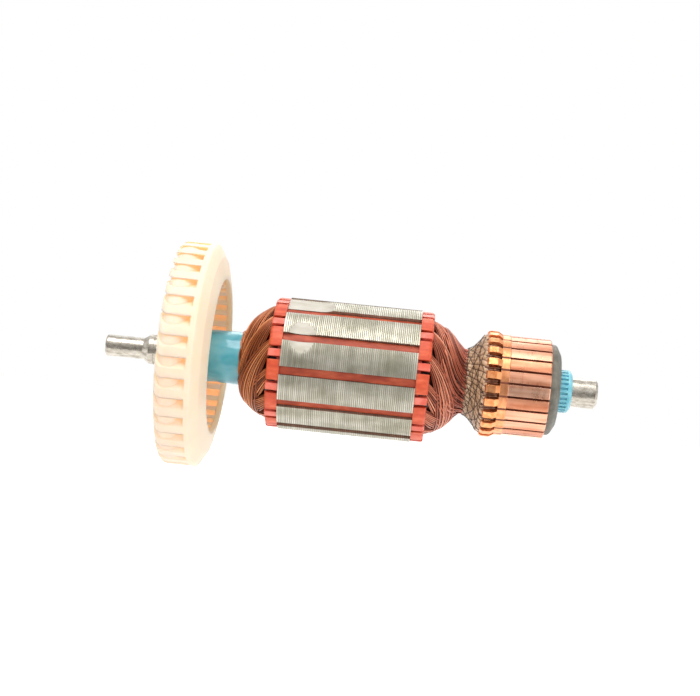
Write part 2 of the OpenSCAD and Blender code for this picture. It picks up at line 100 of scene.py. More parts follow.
def quad_object(name, points, quads, material, others=(), smooth_angle=None):
    """A piece from points in millimetres and quads. It rides the armature's one body."""
    mesh = bpy.data.meshes.new(name)
    points = np.asarray(points, np.float32) * MM
    quads = np.asarray(quads, np.int32)
    mesh.vertices.add(len(points))
    mesh.vertices.foreach_set("co", points.ravel())
    mesh.loops.add(quads.size)
    mesh.loops.foreach_set("vertex_index", quads.ravel())
    mesh.polygons.add(len(quads))
    mesh.polygons.foreach_set("loop_start", np.arange(0, quads.size, 4, dtype=np.int32))
    mesh.update(calc_edges=True)
    mesh.validate()
    for entry in (material, *others):
        mesh.materials.append(entry)
    mesh.shade_smooth()
    if smooth_angle is not None:
        mesh.set_sharp_from_angle(angle=math.radians(smooth_angle))
    piece = bpy.data.objects.new(name, mesh)
    bpy.context.scene.collection.objects.link(piece)
    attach(piece, "root")
    return piece


def ring_quads(rings, sides, closed):
    """Quads that join rings of points, each with the same number of sides."""
    steps = rings if closed else rings - 1
    i, k = np.meshgrid(np.arange(steps), np.arange(sides), indexing="ij")
    after, beside = (i + 1) % rings, (k + 1) % sides
    corners = [i * sides + k, i * sides + beside, after * sides + beside, after * sides + k]
    return np.stack(corners, -1).reshape(-1, 4)


def unit(vectors):
    """Vectors made one long."""
    return vectors / np.linalg.norm(vectors, axis=-1, keepdims=True)


def sweep(path, radius, sides=6, closed=False, flat=1.0):
    """Points and quads of a tube. Its section is `flat` times as wide across as it is high."""
    path = np.asarray(path, float)
    radius = np.broadcast_to(radius, len(path))
    if closed:
        ahead, behind = np.roll(path, -1, 0), np.roll(path, 1, 0)
    else:
        ahead = np.vstack([path[1:], path[-1:]])
        behind = np.vstack([path[:1], path[:-1]])
    along = unit(ahead - behind)
    out = path * [0, 1, 1]
    out = unit(out - (out * along).sum(-1, keepdims=True) * along)
    across = np.cross(along, out)
    turn = np.arange(sides) * 2 * np.pi / sides
    ring = out[:, None] * np.cos(turn)[None, :, None]
    ring = ring + flat * across[:, None] * np.sin(turn)[None, :, None]
    points = path[:, None] + radius[:, None, None] * ring
    return points.reshape(-1, 3), ring_quads(len(path), sides, closed)


def mark(piece, name, values):
    """Stores a number on each point for the finish to read."""
    layer = piece.data.attributes.new(name, "FLOAT", "POINT")
    layer.data.foreach_set("value", np.asarray(values, np.float32).ravel())


def joined(parts):
    """One set of points and quads from several."""
    points, quads, count = [], [], 0
    for part_points, part_quads in parts:
        points.append(part_points)
        quads.append(part_quads + count)
        count += len(part_points)
    return np.concatenate(points), np.concatenate(quads)


# ---- Materials ----


def colour(red, green, blue):
    """A colour from 0 to 255 as a shader takes it."""
    linear = [((c / 255 + 0.055) / 1.055) ** 2.4 if c > 10 else c / 255 / 12.92 for c in (red, green, blue)]
    return (*linear, 1.0)


class Finish:
    """A Principled material, with textures laid out in millimetres on the object."""

    def __init__(self, name, **sockets):
        self.material = bpy.data.materials.new(name)
        self.material.use_nodes = True
        self.tree = self.material.node_tree
        self.shader = self.tree.nodes["Principled BSDF"]
        place = self.tree.nodes.new("ShaderNodeTexCoord").outputs["Object"]
        self.place = self.vector("SCALE", place, scale=1 / MM)
        for socket, value in sockets.items():
            self.shader.inputs[socket.replace("_", " ")].default_value = value

    def node(self, kind, **settings):
        made = self.tree.nodes.new(kind)
        for setting, value in settings.items():
            setattr(made, setting, value)
        return made

    def link(self, source, target):
        self.tree.links.new(source, target)

    def feed(self, target, value):
        """Links a socket, or sets a number or colour."""
        if isinstance(value, bpy.types.NodeSocket):
            self.link(value, target)
        else:
            target.default_value = value

    def vector(self, operation, first, second=None, scale=None):
        made = self.node("ShaderNodeVectorMath", operation=operation)
        self.feed(made.inputs[0], first)
        if second is not None:
            self.feed(made.inputs[1], second)
        if scale is not None:
            made.inputs["Scale"].default_value = scale
        return made.outputs[0]

    def maths(self, operation, first, second=0.0):
        made = self.node("ShaderNodeMath", operation=operation)
        self.feed(made.inputs[0], first)
        self.feed(made.inputs[1], second)
        return made.outputs[0]

    def along(self):
        """Distance x along the shaft."""
        made = self.node("ShaderNodeSeparateXYZ")
        self.link(self.place, made.inputs[0])
        return made.outputs["X"]

    def noise(self, size, detail=3.0, stretch=(1, 1, 1), distortion=0.0):
        """Noise with features of a given size, longer along a stretched axis."""
        place = self.vector("DIVIDE", self.place, stretch)
        made = self.node("ShaderNodeTexNoise")
        self.link(place, made.inputs["Vector"])
        made.inputs["Scale"].default_value = 1 / size
        made.inputs["Detail"].default_value = detail
        made.inputs["Distortion"].default_value = distortion
        return made.outputs["Fac"]

    def marked(self, name):
        """The number that mark() stored on the points."""
        return self.node("ShaderNodeAttribute", attribute_name=name).outputs["Fac"]

    def open_share(self, reach):
        """1 on an open surface and near 0 in a gap, looking up to a reach in millimetres."""
        made = self.node("ShaderNodeAmbientOcclusion", samples=6)
        made.inputs["Distance"].default_value = reach * MM
        return made.outputs["AO"]

    def stripes(self, pitch, distortion=0.0):
        """Fine bands square to the shaft."""
        made = self.node("ShaderNodeTexWave", wave_type="BANDS", bands_direction="X")
        self.link(self.place, made.inputs["Vector"])
        made.inputs["Scale"].default_value = math.pi / 10 / pitch
        made.inputs["Distortion"].default_value = distortion
        made.inputs["Detail Scale"].default_value = 4.0
        return made.outputs["Fac"]

    def ramp(self, value, *stops):
        """Colours, from 0 to 255, or greys, from 0 to 1, at positions of the value."""
        made = self.node("ShaderNodeValToRGB")
        self.link(value, made.inputs["Fac"])
        elements = made.color_ramp.elements
        while len(elements) < len(stops):
            elements.new(0.5)
        for element, (position, shade) in zip(elements, stops):
            element.position = position
            element.color = colour(*shade) if isinstance(shade, tuple) else (shade, shade, shade, 1)
        return made.outputs["Color"]

    def between(self, value, low, high):
        """0 below low and 1 above high."""
        made = self.node("ShaderNodeMapRange")
        self.link(value, made.inputs["Value"])
        made.inputs["From Min"].default_value = low
        made.inputs["From Max"].default_value = high
        return made.outputs["Result"]

    def mix(self, share, first, second, blend="MIX"):
        """The first colour turns into the second as the share rises to 1."""
        made = self.node("ShaderNodeMix", data_type="RGBA", blend_type=blend)
        self.feed(made.inputs["Factor"], share)
        # the node keeps sockets for every type of data, and its colours are these
        self.feed(made.inputs[6], first)
        self.feed(made.inputs[7], second)
        return made.outputs[2]

    def times(self, first, second):
        """One colour darkened by another."""
        return self.mix(1.0, first, second, "MULTIPLY")

    def paint(self, source):
        self.link(source, self.shader.inputs["Base Color"])

    def dull(self, source):
        self.link(source, self.shader.inputs["Roughness"])

    def bump(self, height, depth, strength=1.0, rounded=None):
        """Bumps of a depth in millimetres, on edges that are rounded where a size is given."""
        made = self.node("ShaderNodeBump")
        made.inputs["Strength"].default_value = strength
        made.inputs["Distance"].default_value = depth * MM
        self.link(height, made.inputs["Height"])
        if rounded:
            edge = self.node("ShaderNodeBevel", samples=4)
            edge.inputs["Radius"].default_value = rounded * MM
            self.link(edge.outputs["Normal"], made.inputs["Normal"])
        self.link(made.outputs["Normal"], self.shader.inputs["Normal"])


def steel_finish():
    """Ground steel with faint turning lines and slightly brown stains."""
    f = Finish("ground_steel", Metallic=0.9, Roughness=0.3)
    stain = f.noise(0.9, 5, stretch=(2.2, 1, 1))
    tone = f.ramp(stain, (0.32, (144, 137, 126)), (0.5, (176, 169, 157)), (0.75, (200, 194, 184)))
    f.paint(tone)
    f.dull(f.ramp(f.noise(0.7, 4, stretch=(3, 1, 1)), (0.3, 0.2), (0.7, 0.38)))
    f.bump(f.stripes(0.09, 1.5), 0.004, 0.5)
    return f.material


def sleeve_finish():
    """Glossy teal film with lighter and darker clouds."""
    f = Finish("teal_film", Roughness=0.2, IOR=1.5, Coat_Weight=0.4, Coat_Roughness=0.1)
    cloud = f.noise(5.0, 2, stretch=(1.8, 1, 1), distortion=0.4)
    tone = f.ramp(cloud, (0.3, (44, 146, 168)), (0.5, (84, 176, 194)), (0.72, (120, 194, 206)))
    f.paint(tone)
    f.bump(f.noise(2.4, 3, stretch=(2.5, 1, 1), distortion=0.6), 0.15, 0.5)
    return f.material


def fan_finish():
    """Translucent ivory moulding, with painted shade that turns it orange down between the blades, and a
    painted glow there.
    """
    f = Finish(
        "ivory_moulding",
        Roughness=0.5,
        IOR=1.49,
        Subsurface_Weight=0.6,
        Subsurface_Scale=0.005,
        Subsurface_Radius=(1.0, 0.7, 0.45),
        # colour of the painted glow in the deeper parts
        Emission_Color=colour(240, 212, 174),
    )
    cloud = f.ramp(f.noise(9.0, 3), (0.3, (244, 222, 194)), (0.7, (248, 229, 203)))
    openness = f.open_share(5.0)
    # painted shade: the colour turns orange where blades and walls hem the moulding in
    depth = f.ramp(openness, (0.15, (252, 226, 184)), (0.5, (252, 240, 218)), (0.8, 1.0))
    f.paint(f.times(cloud, depth))
    # painted glow: emission in the deeper parts stands in for light that has come through the moulding
    f.link(f.ramp(openness, (0.1, 0.3), (0.6, 0.0)), f.shader.inputs["Emission Strength"])
    f.bump(f.noise(2.5, 4), 0.05, 0.35, rounded=0.6)
    return f.material


def core_finish():
    """Sheared edges of the laminations, grey with a greenish film in patches."""
    f = Finish("lamination_edges", Metallic=0.85, Roughness=0.42)
    film = f.noise(4.5, 6, stretch=(1.8, 1, 1))
    tone = f.ramp(film, (0.35, (160, 156, 136)), (0.55, (192, 187, 171)), (0.7, (208, 203, 190)))
    sheet = f.ramp(f.noise(0.6, 1, stretch=(1, 60, 60)), (0.3, 0.72), (0.7, 1.0))
    f.paint(f.times(tone, sheet))
    f.dull(f.ramp(f.noise(2.0, 3), (0.3, 0.36), (0.7, 0.52)))
    f.bump(f.noise(0.3, 3, stretch=(1, 4, 4)), 0.02, 0.4)
    return f.material


def groove_finish():
    """Shadowed gaps between the laminations."""
    f = Finish("lamination_gaps", Metallic=0.5, Roughness=0.6)
    f.paint(f.ramp(f.noise(3.0, 4), (0.3, (128, 124, 108)), (0.7, (158, 154, 140))))
    return f.material


def milled_finish():
    """Milled steel of the balance cuts."""
    f = Finish("milled_steel", Metallic=0.5, Roughness=0.6)
    f.paint(f.ramp(f.noise(1.5, 4, stretch=(3, 1, 1)), (0.3, (178, 172, 158)), (0.7, (196, 191, 180))))
    f.bump(f.stripes(0.25, 3.0), 0.006, 0.5)
    return f.material


def coral_finish():
    """Coral end plates, with painted shade that turns them deep red in their recesses."""
    f = Finish("coral_moulding", Roughness=0.42, IOR=1.5, Subsurface_Weight=0.15, Subsurface_Scale=0.0008)
    cloud = f.noise(2.5, 4)
    tone = f.ramp(cloud, (0.3, (222, 88, 64)), (0.5, (228, 106, 84)), (0.72, (244, 134, 116)))
    # painted shade: deep red in the recesses
    depth = f.ramp(f.open_share(1.5), (0.2, (190, 60, 40)), (0.6, 1.0))
    f.paint(f.times(tone, depth))
    f.bump(f.noise(0.6, 4), 0.05, 0.5, rounded=0.25)
    return f.material


def wedge_finish():
    """Orange-brown slot wedges, streaked along the shaft and darker along the core, with painted shade in
    their recesses.
    """
    f = Finish("orange_wedge", Roughness=0.5, IOR=1.5, Subsurface_Weight=0.1, Subsurface_Scale=0.0008)
    cloud = f.noise(1.6, 6, stretch=(3, 1, 1))
    strip = f.ramp(cloud, (0.3, (146, 52, 26)), (0.5, (178, 70, 38)), (0.7, (202, 94, 58)))
    tongue = f.ramp(cloud, (0.3, (194, 64, 32)), (0.5, (214, 84, 46)), (0.7, (230, 110, 74)))
    x = f.along()
    past_start = f.between(x, CORE_START - 0.1, CORE_START)
    before_end = f.between(x, CORE_END + 0.1, CORE_END)
    over_core = f.maths("MULTIPLY", past_start, before_end)
    tone = f.mix(over_core, tongue, strip)
    # painted shade: darker in the recesses
    depth = f.ramp(f.open_share(1.2), (0.2, (180, 120, 96)), (0.6, 1.0))
    f.paint(f.times(tone, depth))
    f.bump(f.noise(0.5, 4, stretch=(4, 1, 1)), 0.07, 0.6, rounded=0.25)
    return f.material


def liner_finish():
    """Reddish liner paper."""
    f = Finish("liner_paper", Roughness=0.7)
    f.paint(f.ramp(f.noise(0.8, 4), (0.3, (188, 62, 40)), (0.7, (222, 92, 66))))
    return f.material


def wire_finish():
    """Enamelled copper strands, browner at the drive end and pinker at the other, with painted shade
    between the strands and towards the neck.
    """
    f = Finish("enamelled_wire", Metallic=0.5, IOR=1.5, Coat_Weight=0.2, Coat_Roughness=0.25)
    strand = f.marked("tone")
    brown = f.ramp(strand, (0.0, (108, 50, 20)), (0.5, (170, 90, 46)), (1.0, (218, 142, 90)))
    pink = f.ramp(strand, (0.0, (118, 54, 34)), (0.5, (184, 98, 68)), (1.0, (228, 152, 120)))
    side = f.between(f.along(), CORE_START, CORE_END)
    # painted shade: darker down between the strands
    gaps = f.ramp(f.open_share(1.1), (0.2, (58, 24, 14)), (0.7, 1.0))
    # painted shade: the strands turn darker and redder towards the neck
    neck = f.between(f.along(), CORE_END + 8, CORE_END + 12)
    gaps = f.mix(neck, gaps, f.mix(0.6, gaps, colour(190, 120, 100), "MULTIPLY"))
    f.paint(f.times(f.mix(side, brown, pink), gaps))
    f.dull(f.ramp(f.noise(1.1, 3), (0.3, 0.34), (0.7, 0.5)))
    return f.material


def varnish_and_shade_finish():
    """Dark fill below the strands that show: varnished wire, painted darker as the shade down between the
    strands.
    """
    f = Finish("varnish_and_gap_shade", Roughness=0.35, Coat_Weight=0.3)
    # painted shade: near black, as the gaps between the strands look
    f.paint(f.ramp(f.noise(0.8, 4), (0.3, (32, 13, 7)), (0.7, (70, 32, 18))))
    f.bump(f.noise(0.5, 3), 0.12, 0.8)
    return f.material


def lead_finish():
    """Resin-bound leads: brown at the neck and pale beige up the flare, with painted shade between them."""
    f = Finish("varnished_leads", Roughness=0.4, IOR=1.5, Coat_Weight=0.3, Coat_Roughness=0.2)
    x = f.along()
    brown = f.ramp(f.noise(0.9, 4), (0.3, (92, 42, 30)), (0.5, (142, 74, 56)), (0.7, (190, 120, 98)))
    cloud = f.noise(1.2, 5)
    beige = f.ramp(cloud, (0.3, (172, 134, 100)), (0.5, (200, 162, 126)), (0.72, (226, 194, 160)))
    neck = f.between(x, CORE_END + 11.8, CORE_END + 13.6)
    # painted shade: darker down between the leads' ridges
    gaps = f.ramp(f.marked("height"), (0.15, (120, 88, 66)), (0.6, 1.0))
    f.paint(f.times(f.mix(neck, brown, beige), gaps))
    f.bump(f.noise(0.4, 3), 0.06, 0.6)
    return f.material


def cord_finish():
    """Thin brown lacing cord."""
    f = Finish("lacing_cord", Roughness=0.6)
    f.paint(f.ramp(f.noise(0.5, 3), (0.3, (52, 34, 24)), (0.7, (88, 62, 46))))
    return f.material


def hook_wire_finish():
    """Dark, glossy varnished wire in the gaps between the hooks, with painted glints in its lightest
    patches.
    """
    f = Finish("hook_wire", Metallic=0.5, Roughness=0.28, Coat_Weight=0.5)
    cloud = f.noise(0.7, 4)
    # painted glints: the lightest stop of the ramp
    f.paint(f.ramp(cloud, (0.35, (66, 34, 20)), (0.6, (120, 76, 48)), (0.8, (196, 160, 120))))
    f.bump(f.noise(0.4, 4), 0.1, 0.8)
    return f.material


def copper_finish(name, light, dark):
    """Turned copper, in its own tones on the track and orange on the riser and the hooks."""
    f = Finish(name, Metallic=0.9, Roughness=0.3)
    streak = f.noise(1.3, 4, stretch=(9, 1, 1))
    track = f.ramp(streak, (0.3, dark), (0.6, light))
    riser = f.ramp(f.noise(1.2, 4), (0.3, (212, 132, 84)), (0.7, (238, 168, 120)))
    hook = f.ramp(f.noise(0.9, 4), (0.3, (220, 132, 76)), (0.7, (248, 176, 122)))
    x = f.along()
    past_hook = f.between(x, BAR_START + 3.6, BAR_START + 4.0)
    past_riser = f.between(x, BAR_START + 5.9, BAR_START + 6.1)
    f.paint(f.mix(past_riser, f.mix(past_hook, hook, riser), track))
    f.dull(f.ramp(f.noise(1.0, 4, stretch=(1, 5, 5)), (0.3, 0.24), (0.7, 0.42)))
    f.bump(f.stripes(0.16, 2.0), 0.006, 0.6, rounded=0.12)
    return f.material


def phenolic_finish():
    """Grey collar of the moulding, which is brown and dusty down in the sawn slots."""
    f = Finish("phenolic", Roughness=0.55, IOR=1.5)
    grey = f.ramp(f.noise(1.6, 5), (0.3, (90, 88, 78)), (0.7, (120, 117, 106)))
    brown = f.ramp(f.noise(0.7, 4), (0.3, (84, 36, 16)), (0.7, (136, 70, 34)))
    f.paint(f.mix(f.between(f.along(), BAR_END - 0.1, BAR_END), brown, grey))
    f.bump(f.noise(0.3, 4), 0.03, 0.5)
    return f.material


def ring_finish():
    """Light blue moulding of the ribbed ring."""
    f = Finish("blue_moulding", Roughness=0.4, IOR=1.49, Subsurface_Weight=0.2, Subsurface_Scale=0.001)
    f.paint(f.ramp(f.noise(1.5, 4), (0.3, (108, 190, 208)), (0.7, (146, 214, 228))))
    f.bump(f.noise(0.5, 3), 0.03, 0.4, rounded=0.15)
    return f.material


# ---- Camera, light and floor ----

WORLD_LEVEL = 0.68
FLOOR_HEIGHT = -0.1
FLOOR_HALF = 3.0
FLOOR_LIFT = 0.75


def make_camera():
    """The photograph's viewing angle."""
    data = bpy.data.cameras.new("camera")
    data.lens = 74.6
    data.sensor_width = 36
    camera = bpy.data.objects.new("camera", data)
    camera.location = (0.06524, -0.391, 0.0)
    camera.rotation_euler = [math.radians(a) for a in (90.853, -5.823, 2.381)]
    bpy.context.scene.collection.objects.link(camera)
    bpy.context.scene.camera = camera


def area_light(name, place, size, watts, aim):
    """A round lamp, with its place, size and aim in metres."""
    data = bpy.data.lights.new(name, "AREA")
    data.shape = "DISK"
    data.size = size
    data.energy = watts
    light = bpy.data.objects.new(name, data)
    light.location = place
    light.rotation_euler = (Vector(aim) - Vector(place)).to_track_quat("-Z", "Y").to_euler()
    bpy.context.scene.collection.objects.link(light)


def make_world(level):
    """Soft light from all round. The camera, metal and glass see it as plain white."""
    world = bpy.data.worlds.new("studio")
    world.use_nodes = True
    tree = world.node_tree
    background = tree.nodes["Background"]
    path = tree.nodes.new("ShaderNodeLightPath")
    seen = path.outputs["Is Camera Ray"]
    for kind in ("Is Glossy Ray", "Is Transmission Ray"):
        either = tree.nodes.new("ShaderNodeMath")
        either.operation = "MAXIMUM"
        tree.links.new(seen, either.inputs[0])
        tree.links.new(path.outputs[kind], either.inputs[1])
        seen = either.outputs[0]
    strength = tree.nodes.new("ShaderNodeMapRange")
    strength.inputs["To Min"].default_value = level
    strength.inputs["To Max"].default_value = 1.0
    tree.links.new(seen, strength.inputs["Value"])
    tree.links.new(strength.outputs["Result"], background.inputs["Strength"])
    background.inputs["Color"].default_value = (1, 1, 1, 1)
    bpy.context.scene.world = world


def stage_sheet(name, corners, material):
    """A flat sheet for the studio's floor and card, with its corners in metres."""
    mesh = bpy.data.meshes.new(name)
    mesh.from_pydata(corners, [], [(0, 1, 2, 3)])
    mesh.materials.append(material)
    sheet = bpy.data.objects.new(name, mesh)
    bpy.context.scene.collection.objects.link(sheet)
    return sheet


def make_floor(height):
    """A wide pale floor well below the object. It keeps the shadow, and is clear from below."""
    f = Finish("floor", Base_Color=(0.9, 0.9, 0.9, 1), Roughness=0.9, Emission_Color=(1, 1, 1, 1))
    path = f.node("ShaderNodeLightPath").outputs
    seen = f.maths("MAXIMUM", path["Is Camera Ray"], path["Is Glossy Ray"])
    f.link(f.maths("MULTIPLY", seen, FLOOR_LIFT), f.shader.inputs["Emission Strength"])
    below = f.node("ShaderNodeNewGeometry").outputs["Backfacing"]
    f.link(f.maths("SUBTRACT", 1.0, below), f.shader.inputs["Alpha"])
    corners = [(x * FLOOR_HALF, y * FLOOR_HALF, height) for x, y in ((-1, -1), (1, -1), (1, 1), (-1, 1))]
    stage_sheet("floor", corners, f.material)


def make_card():
    """A dark card round the camera, as metal and gloss see the dim side of a studio."""
    f = Finish("card", Base_Color=(0.25, 0.25, 0.25, 1), Roughness=1.0)
    corners = [(-0.3, -0.15, -0.095), (0.45, -0.15, -0.095), (0.45, -0.42, 0.12), (-0.3, -0.42, 0.12)]
    card = stage_sheet("card", corners, f.material)
    card.visible_camera = False
    card.visible_diffuse = False
    card.visible_transmission = False
    card.visible_shadow = False


def make_studio():
    """Camera, world, floor, card and three soft lamps."""
    make_camera()
    make_world(WORLD_LEVEL)
    make_floor(FLOOR_HEIGHT)
    make_card()
    middle = (0.05, 0, 0)
    area_light("key", (-0.05, -0.32, 0.62), 0.5, 3.0, middle)
    area_light("fill", (0.45, -0.45, 0.1), 0.5, 0.8, middle)
    area_light("rim", (0.1, 0.5, 0.5), 0.5, 1.5, middle)


# ---- Fan ----

# The floor of the air passages between the blades: distance from the fan's drive side,
# and depth below the blade tips
FLOOR_PROFILE = [
    (1.7, 4.2), (0.8, 2.2), (0.9, 1.2), (1.3, 0.7), (2.0, 0.4), (3.0, 0.25), (4.4, 0.3),
    (5.6, 0.7), (6.8, 1.4), (7.6, 2.0), (7.7, 4.2),
]
FLOOR_SIDES = 180


def make_fan_floor(finish):
    """The passages' floor rises towards the drive side, and leaves the air its outlet by the shroud."""
    low, high = span("fan")
    angles = np.arange(FLOOR_SIDES) * 360 / FLOOR_SIDES
    rings = [polar(low.x + along, high.z - depth, angles) for along, depth in FLOOR_PROFILE]
    quads = ring_quads(len(rings), len(angles), True)
    piece = quad_object("fan_passage_floor", np.concatenate(rings), quads, finish, smooth_angle=60)


# ---- Core ----

TOOTH_W = 3.6
TOOTH_TIP = 1.15
TOOTH_SHOULDER = 0.7
TOOTH_TOP_POINTS = 11
SLOT_FLOOR = 0.51  # share of the way out from the sleeve to the tooth's shoulder
SLOT_MOUTH = 2.3
SHEET = 0.5
GROOVE_W = 0.2
GROOVE_DEPTH = 0.07
CUTTER_R = 11.0
# Angle, distance from the drive end to which the cutter goes at full depth, depth, and
# whether the cut is short: one bite of the cutter, where a long one runs in from the end
BALANCE_CUTS = [(65, 8.34, 0.85, False), (25, 4.97, 0.66, True)]
MILLED, GROOVE = 1, 2  # material slots of the core, after its main one


def lamination_outline():
    """Radius and angle of a lamination's outer edge, and whether a point is on a tooth's top."""
    half_pitch = math.radians(SLOT_PITCH / 2)
    top = CORE_R - TOOTH_TIP
    shoulder = top - TOOTH_SHOULDER
    floor = SLEEVE_R + (shoulder - SLEEVE_R) * SLOT_FLOOR

    def half_width(radius):
        return radius * math.tan(half_pitch) - TOOTH_W / 2 / math.cos(half_pitch)

    side = [(CORE_R, SLOT_MOUTH / 2), (top, SLOT_MOUTH / 2), (shoulder, half_width(shoulder))]
    side += [(floor, half_width(floor)), (floor - 1.0, half_width(floor) * 0.6)]
    outline = []
    for index in range(SLOT_COUNT):
        centre = slot_angle(index)
        for along, across in side[:0:-1]:
            angle = centre + math.degrees(math.atan2(across, along))
            outline.append((math.hypot(along, across), angle, False))
        edge = math.degrees(math.asin(SLOT_MOUTH / 2 / CORE_R))
        for angle in np.linspace(centre + edge, centre + SLOT_PITCH - edge, TOOTH_TOP_POINTS):
            outline.append((CORE_R, angle, True))
        for along, across in side[1:]:
            angle = centre + SLOT_PITCH - math.degrees(math.atan2(across, along))
            outline.append((math.hypot(along, across), angle, False))
    return outline


def cut_limit(distance, angle):
    """Radius that the balance cuts leave at a distance from the drive end face."""
    limit = CORE_R
    for cut_angle, full_to, depth, short in BALANCE_CUTS:
        past = abs(distance - full_to) if short else max(distance - full_to, 0)
        turn = math.radians((angle - cut_angle + 180) % 360 - 180)
        if past >= CUTTER_R or abs(turn) > 1:
            continue
        level = CORE_R - depth + CUTTER_R - math.sqrt(CUTTER_R**2 - past**2)
        limit = min(limit, level / math.cos(turn))
    return limit


def sheet_stations(length):
    """Distances along the stack, each with the depth of the groove there."""
    count = round(length / SHEET)
    stations = [(0.0, 0.0)]
    for sheet in range(count):
        start = sheet * length / count
        end = start + length / count
        stations += [(start + GROOVE_W / 2, 0.0), (end - GROOVE_W / 2, 0.0)]
        if sheet < count - 1:
            stations.append((end, GROOVE_DEPTH))
    return [*stations, (length, 0.0)]


def core_surface(outline, stations):
    """Points along the stack, and whether each lies in a balance cut or in a groove."""
    points, cut, sunk = [], [], []
    for distance, groove in stations:
        for radius, angle, on_top in outline:
            full = radius - (groove if on_top else 0)
            limit = cut_limit(distance, angle)
            cut.append(full > limit)
            sunk.append(groove > 0 and on_top and full <= limit)
            points.append((distance, min(full, limit), angle))
    return np.array(points), np.array(cut), np.array(sunk)


def end_faces(sides, total):
    """Quads that run in from the first and last outline to the two rings on the sleeve."""
    k = np.arange(sides)
    after = (k + 1) % sides
    last = total - sides
    return [
        np.stack([total + k, total + after, after, k], -1),
        np.stack([last + k, last + after, total + sides + after, total + sides + k], -1),
    ]


def make_core(finish, milled, grooves):
    """The stack, sheet by sheet, with a fine groove between the sheets."""
    outline = lamination_outline()
    length = CORE_END - CORE_START
    stations = sheet_stations(length)
    points, cut, sunk = core_surface(outline, stations)
    outside = polar(CORE_START + points[:, 0], points[:, 1], points[:, 2])
    inside = [polar(CORE_START + x, SLEEVE_R, [angle for _, angle, _ in outline]) for x in (0, length)]
    quads = ring_quads(len(stations), len(outline), False)
    faces = np.concatenate([quads, *end_faces(len(outline), len(outside))])
    places = np.concatenate([outside, *inside])
    piece = quad_object("core_laminations", places, faces, finish, [milled, grooves], smooth_angle=30)
    index = np.zeros(len(piece.data.polygons), np.int32)
    index[: len(quads)] = np.where(sunk[quads].any(1), GROOVE, MILLED * cut[quads].all(1))
    piece.data.polygons.foreach_set("material_index", index)
    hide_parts("core")


# ---- Windings ----

WIRE_R = 0.22
ROWS = (7, 8, 8)  # strands in each row of a coil, from the outer row in
ROW_STEP = 0.4
COLUMN_STEP = 0.43
SLOT_SPREAD = 0.8  # widths of a row, as shares of its steps, at the slots and halfway
MID_SPREAD = 1.9
ARCH_FLATNESS = 2.2
ARCH_FULLNESS = 0.62
TURN_POINTS = 36
COIL_SPAN = 150.0
WIRE_TONE = (0.5, 0.3)  # mean and spread of the strands' tones
# How deep a coil lies under those wound after it: depth, and share of the way from its
# upper slot to its lower one. The last coil lies on all others, and the first under them
BURIED_LAST = [(0, 0), (0, 0.75), (0.3, 1)]
BURIED_FIRST = [(2.6, 0), (2.8, 1)]
BURIED = [(0.0, 0), (0.2, 0.14), (1.1, 0.28), (1.5, 0.42), (2.1, 0.6), (2.7, 0.8), (2.9, 1)]
LAST_COIL = 9
FIRST_COIL = 4
# Outline of the winding heads at the drive end, -1, and the commutator end, 1: distance
# from the core, and radius
HEAD_PROFILE = {
    -1: [(0, 15.5), (3.1, 15.7), (4.6, 15.2), (7.5, 13.6), (9.9, 11.5), (10.8, 10.3), (11.6, 7.6)],
    1: [
        (0, 15.5), (3.6, 15.7), (6.4, 14.2), (8.1, 13.3), (9.3, 12.0),
        (10.5, 10.5), (11.4, 9.0), (12.4, 7.8),
    ],
}
HEAD_REACH = {-1: 8.8, 1: 8.9}  # how far a coil's arch stands off the core
FILLER_DEPTH = 2.3
FILLER_SIDES = 96


def head_radius(end, distance):
    """Radius of a winding head's outside at distances from the core."""
    steps, radii = zip(*HEAD_PROFILE[end])
    return np.interp(distance, steps, radii)


def wander(rng, steps, size):
    """A slow random drift along a strand."""
    share = np.linspace(0, 1, steps)
    drift = np.zeros(steps)
    for wave in (1, 2, 3):
        drift += rng.uniform(-1, 1) * np.sin(2 * np.pi * (wave * share / 1.5 + rng.random())) / wave
    return drift * size


def random_tone(rng, mean, spread):
    """A tone between 0, dark, and 1, light."""
    return min(max(rng.gauss(mean, spread), 0), 1)


def end_turn(end, start_angle, across, row, buried, rng):
    """Path of a strand over a winding head, from its coil's upper slot to its lower slot.

    The strand follows an arch over the head. It is then put aside by its place in the row,
    and down by its row and by the coils that lie over it.
    """
    sampled = np.linspace(0, 1, TURN_POINTS)
    share = (1 - np.cos(np.pi * sampled)) / 2
    arch = (1 - np.abs(2 * share - 1) ** ARCH_FLATNESS) ** ARCH_FULLNESS
    distance = HEAD_REACH[end] * arch
    angle = start_angle - COIL_SPAN * share
    surface = head_radius(end, distance)
    forward = np.gradient(distance, sampled)
    round_shaft = np.gradient(np.radians(angle), sampled) * surface
    length = np.hypot(forward, round_shaft)
    spread = SLOT_SPREAD + (MID_SPREAD - SLOT_SPREAD) * np.sin(np.pi * share)
    offset = across * spread + wander(rng, TURN_POINTS, 0.1) * np.sin(np.pi * share)
    distance = distance - offset * round_shaft / length
    angle = angle + np.degrees(offset * forward / length / surface)
    depth, shares = zip(*buried)
    cover = np.interp(share, shares, depth)
    radius = head_radius(end, distance) - WIRE_R - row * ROW_STEP - cover
    radius = smoothed(radius + wander(rng, TURN_POINTS, 0.05), 5)
    radius = np.maximum(radius, SLEEVE_R + WIRE_R)
    face = CORE_START if end < 0 else CORE_END
    return polar(face + end * distance, radius, angle)


